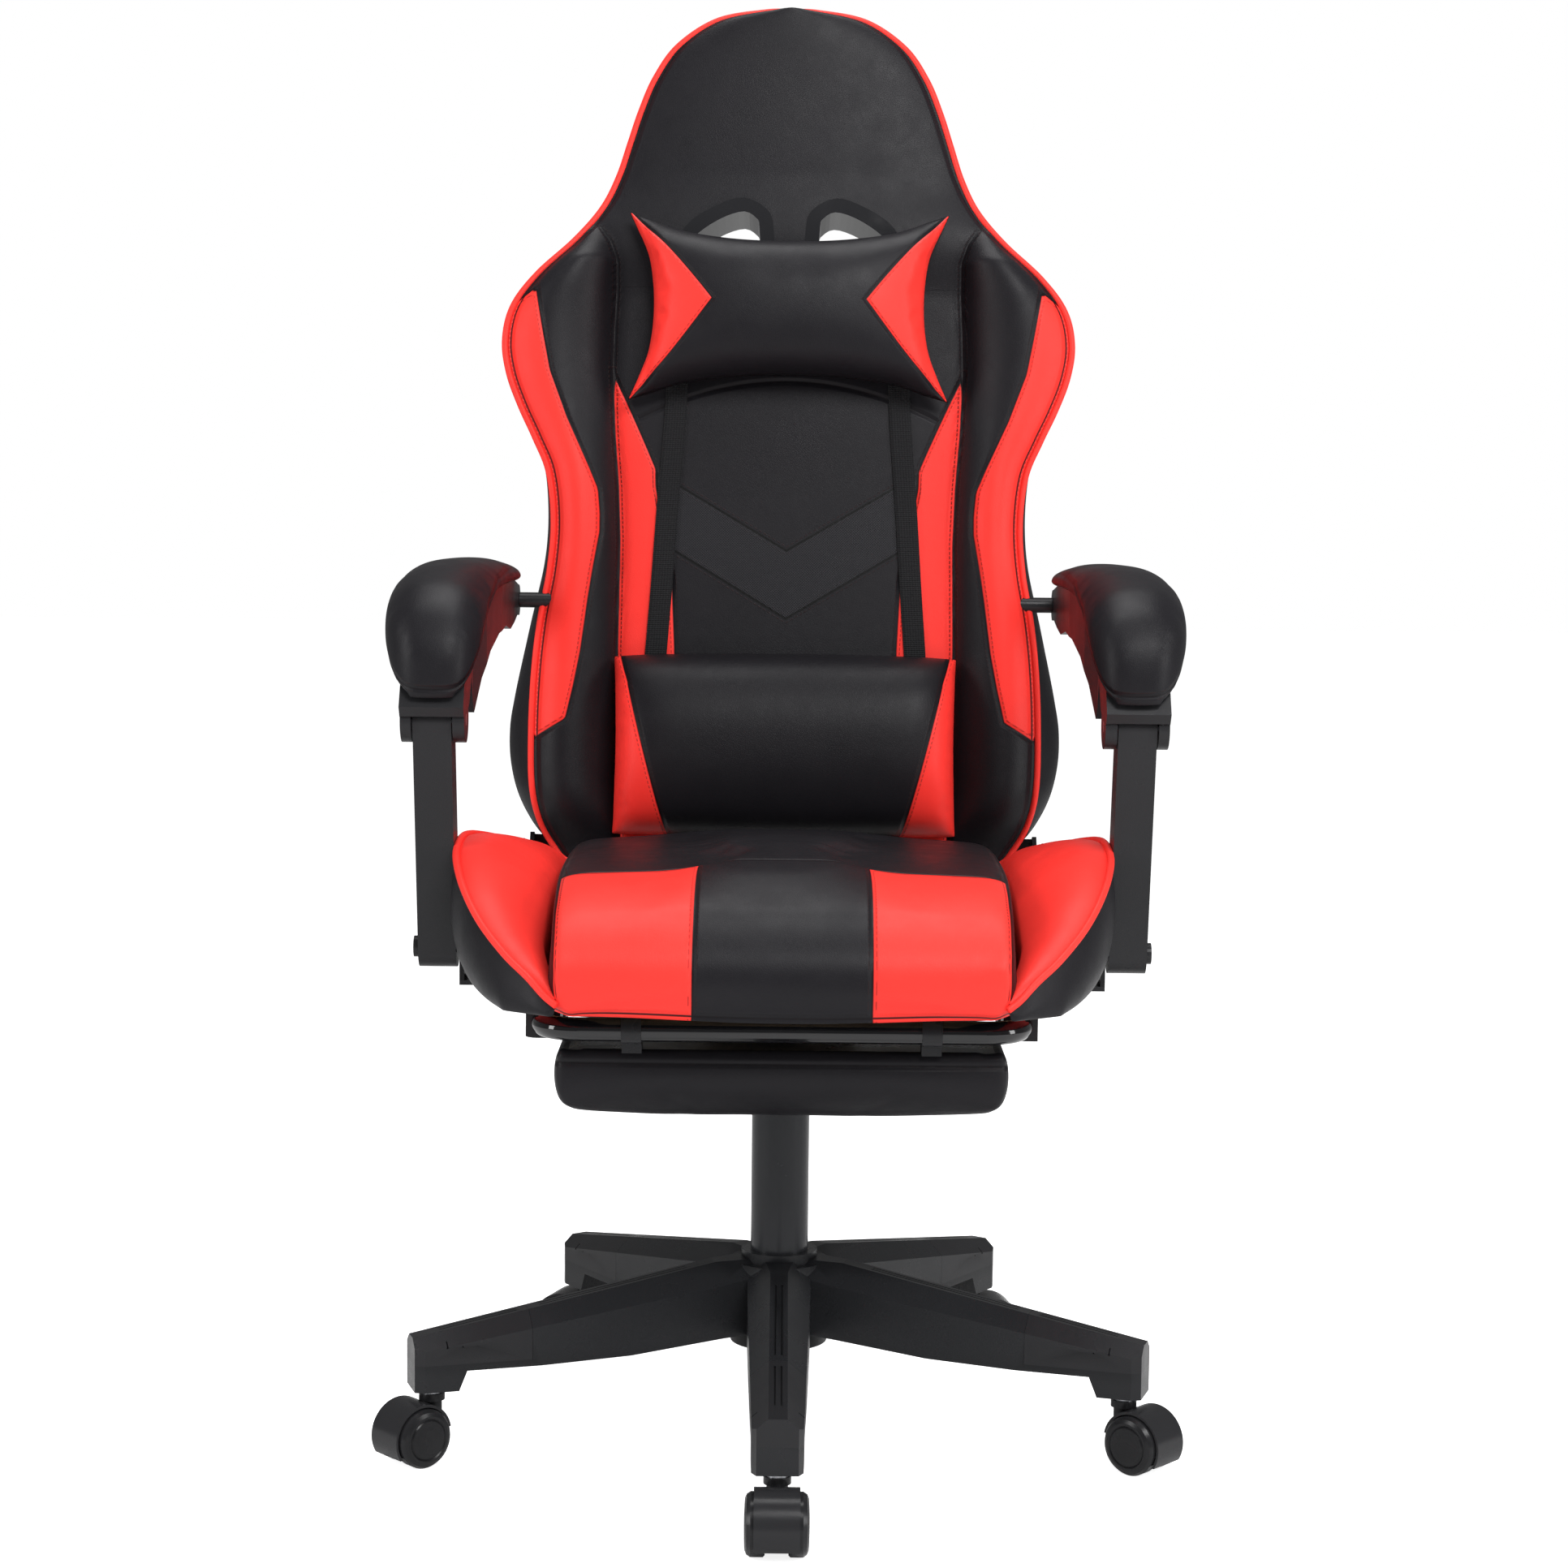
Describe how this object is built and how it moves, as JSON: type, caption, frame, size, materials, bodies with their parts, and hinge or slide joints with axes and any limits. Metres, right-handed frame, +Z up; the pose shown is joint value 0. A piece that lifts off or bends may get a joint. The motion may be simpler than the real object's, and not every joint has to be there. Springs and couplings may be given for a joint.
{
  "type": "gaming chair",
  "caption": "Reclining bucket-style office chair with padded wings, head and lumbar pillows, linked armrests, slide-out footrest, gas lift and five-star caster base.",
  "frame": {"origin": "on the floor, on the gas column's axis", "axes": "+Z up along the column; the chair faces -Y; +X is the sitter's left"},
  "size_m": [0.6832, 0.6937, 1.2631],
  "materials": {
    "base_plastic": "grained",
    "black_steel": "powder coated",
    "bright_steel": "ground",
    "caster_plastic": "satin",
    "column_paint": "satin black",
    "cover_plastic": "satin",
    "gloss_steel": "gloss black",
    "gloss_trim": "gloss",
    "leather_black": "fine grain",
    "leather_red": "fine grain",
    "plywood": "raw",
    "red_plastic": "satin",
    "strap": "woven elastic",
    "wheel_plastic": "semi-gloss",
    "zinc": "zinc plated"
  },
  "bodies": {
    "base": {"base_star": "base_plastic", "leg_covers": "cover_plastic", "gas_cylinder": "column_paint"},
    "caster_1": {"caster_1_hood": "caster_plastic", "caster_1_stem": "zinc"},
    "wheels_1": {"caster_1_wheels": "wheel_plastic"},
    "caster_2": {"caster_2_hood": "caster_plastic", "caster_2_stem": "zinc"},
    "wheels_2": {"caster_2_wheels": "wheel_plastic"},
    "caster_3": {"caster_3_hood": "caster_plastic", "caster_3_stem": "zinc"},
    "wheels_3": {"caster_3_wheels": "wheel_plastic"},
    "caster_4": {"caster_4_hood": "caster_plastic", "caster_4_stem": "zinc"},
    "wheels_4": {"caster_4_wheels": "wheel_plastic"},
    "caster_5": {"caster_5_hood": "caster_plastic", "caster_5_stem": "zinc"},
    "wheels_5": {"caster_5_wheels": "wheel_plastic"},
    "piston": {"piston_rod": "bright_steel", "thrust_bearing": "bright_steel"},
    "lift": {"pressure_cylinder": "column_paint", "tilt_housing": "black_steel", "tilt_spring": "zinc"},
    "valve": {"valve_button": "red_plastic"},
    "knob": {"tension_knob": "caster_plastic"},
    "cam": {"lever_cam": "black_steel"},
    "lever": {"height_lever": "cover_plastic"},
    "seat": {"mech_plate": "black_steel", "tilt_axle": "zinc", "mech_bolts": "zinc", "seat_frame": "black_steel", "seat_pan": "plywood", "seat_cushion": "leather_black", "seat_bolster_left": "leather_red", "seat_bolster_right": "leather_red", "recline_plates": "black_steel", "hinge_covers": "cover_plastic", "arm_brackets": "black_steel", "footrest_guides": "cover_plastic"},
    "recliner": {"recline_lever": "cover_plastic"},
    "footrest_slider": {"footrest_frame": "gloss_steel"},
    "footrest_flap": {"footrest_board": "black_steel", "footrest_pad": "leather_black"},
    "back": {"back_frame": "black_steel", "back_shell": "leather_black", "back_bolster_left": "leather_red", "back_bolster_right": "leather_red", "hole_bezels": "gloss_trim", "head_pillow": "leather_black", "lumbar_pillow": "leather_black", "pillow_straps": "strap", "arm_rear_pins": "black_steel"},
    "arm_left": {"arm_core_left": "cover_plastic", "arm_pad_left": "leather_black", "arm_bolt_left": "zinc"},
    "arm_right": {"arm_core_right": "cover_plastic", "arm_pad_right": "leather_black", "arm_bolt_right": "zinc"},
    "post_left": {"arm_post_left": "cover_plastic"},
    "post_right": {"arm_post_right": "cover_plastic"}
  },
  "joints": [
    {"name": "caster_1_swivel", "type": "hinge", "parent": "base", "child": "caster_1", "pos_m": [0, -0.308, 0.07], "axis": [0, 0, 1], "continuous": true},
    {"name": "caster_1_roll", "type": "hinge", "parent": "caster_1", "child": "wheels_1", "pos_m": [0, -0.329, 0.025], "axis": [1, 0, 0], "continuous": true},
    {"name": "caster_2_swivel", "type": "hinge", "parent": "base", "child": "caster_2", "pos_m": [0.29292, -0.09518, 0.07], "axis": [0, 0, 1], "continuous": true},
    {"name": "caster_2_roll", "type": "hinge", "parent": "caster_2", "child": "wheels_2", "pos_m": [0.30853, -0.10923, 0.025], "axis": [0.6691, 0.7431, 0], "continuous": true},
    {"name": "caster_3_swivel", "type": "hinge", "parent": "base", "child": "caster_3", "pos_m": [0.18104, 0.24918, 0.07], "axis": [0, 0, 1], "continuous": true},
    {"name": "caster_3_roll", "type": "hinge", "parent": "caster_3", "child": "wheels_3", "pos_m": [0.20172, 0.25282, 0.025], "axis": [-0.1736, 0.9848, 0], "continuous": true},
    {"name": "caster_4_swivel", "type": "hinge", "parent": "base", "child": "caster_4", "pos_m": [-0.18104, 0.24918, 0.07], "axis": [0, 0, 1], "continuous": true},
    {"name": "caster_4_roll", "type": "hinge", "parent": "caster_4", "child": "wheels_4", "pos_m": [-0.20077, 0.25636, 0.025], "axis": [-0.342, -0.9397, 0], "continuous": true},
    {"name": "caster_5_swivel", "type": "hinge", "parent": "base", "child": "caster_5", "pos_m": [-0.29292, -0.09518, 0.07], "axis": [0, 0, 1], "continuous": true},
    {"name": "caster_5_roll", "type": "hinge", "parent": "caster_5", "child": "wheels_5", "pos_m": [-0.30853, -0.10923, 0.025], "axis": [0.6691, -0.7431, 0], "continuous": true},
    {"name": "seat_swivel", "type": "hinge", "parent": "base", "child": "piston", "pos_m": [0, 0, 0.2], "axis": [0, 0, 1], "continuous": true},
    {"name": "height_slide", "type": "slide", "parent": "piston", "child": "lift", "axis": [0, 0, 1], "range_m": [-0.045, 0.035]},
    {"name": "valve_press", "type": "slide", "parent": "lift", "child": "valve", "axis": [0, 0, -1], "range_m": [0, 0.005]},
    {"name": "tension_turn", "type": "hinge", "parent": "lift", "child": "knob", "pos_m": [0, -0.062, 0.34], "axis": [0, 0, 1], "continuous": true},
    {"name": "lever_lift", "type": "hinge", "parent": "lift", "child": "cam", "pos_m": [-0.044, 0, 0.38], "axis": [0, 1, 0], "range_deg": [0, 6.5], "stiffness_Nm_per_rad": 6, "springref_deg": -6.88},
    {"name": "tilt_lock_pull", "type": "slide", "parent": "cam", "child": "lever", "axis": [-1, 0, 0], "range_m": [0, 0.018]},
    {"name": "seat_tilt", "type": "hinge", "parent": "lift", "child": "seat", "pos_m": [0, -0.03, 0.38], "axis": [-1, 0, 0], "range_deg": [0, 12], "stiffness_Nm_per_rad": 120, "springref_deg": -20.05},
    {"name": "recline_lever_pull", "type": "hinge", "parent": "seat", "child": "recliner", "pos_m": [-0.265, 0.205, 0.47], "axis": [-1, 0, 0], "range_deg": [0, 25], "stiffness_Nm_per_rad": 0.6, "springref_deg": -11.46},
    {"name": "footrest_slide", "type": "slide", "parent": "seat", "child": "footrest_slider", "axis": [0, -1, 0], "range_m": [0, 0.25]},
    {"name": "footrest_flip", "type": "hinge", "parent": "footrest_slider", "child": "footrest_flap", "pos_m": [0, -0.215, 0.391], "axis": [-1, 0, 0], "range_deg": [0, 180]},
    {"name": "recline", "type": "hinge", "parent": "seat", "child": "back", "pos_m": [0, 0.205, 0.47], "axis": [-1, 0, 0], "range_deg": [0, 35]},
    {"name": "post_left_swing", "type": "hinge", "parent": "seat", "child": "post_left", "pos_m": [0.291, -0.055, 0.432], "axis": [-1, 0, 0], "range_deg": [0, 41]},
    {"name": "arm_left_turn", "type": "hinge", "parent": "back", "child": "arm_left", "pos_m": [0.254, 0.20006, 0.71507], "axis": [1, 0, 0], "range_deg": [0, 32]},
    {"name": "post_right_swing", "type": "hinge", "parent": "seat", "child": "post_right", "pos_m": [-0.291, -0.055, 0.432], "axis": [-1, 0, 0], "range_deg": [0, 41]},
    {"name": "arm_right_turn", "type": "hinge", "parent": "back", "child": "arm_right", "pos_m": [-0.254, 0.20006, 0.71507], "axis": [1, 0, 0], "range_deg": [0, 32]}
  ],
  "couplings": [
    {"joint": "valve_press", "follows": "lever_lift", "m_per_rad": 0.044},
    {"joint": "footrest_flip", "follows": "footrest_slide", "rad_per_m": 12.5},
    {"joint": "post_left_swing", "follows": "recline", "ratio": 1.1551},
    {"joint": "arm_left_turn", "follows": "recline", "ratio": 0.8802},
    {"joint": "post_right_swing", "follows": "recline", "ratio": 1.1551},
    {"joint": "arm_right_turn", "follows": "recline", "ratio": 0.8802}
  ]
}
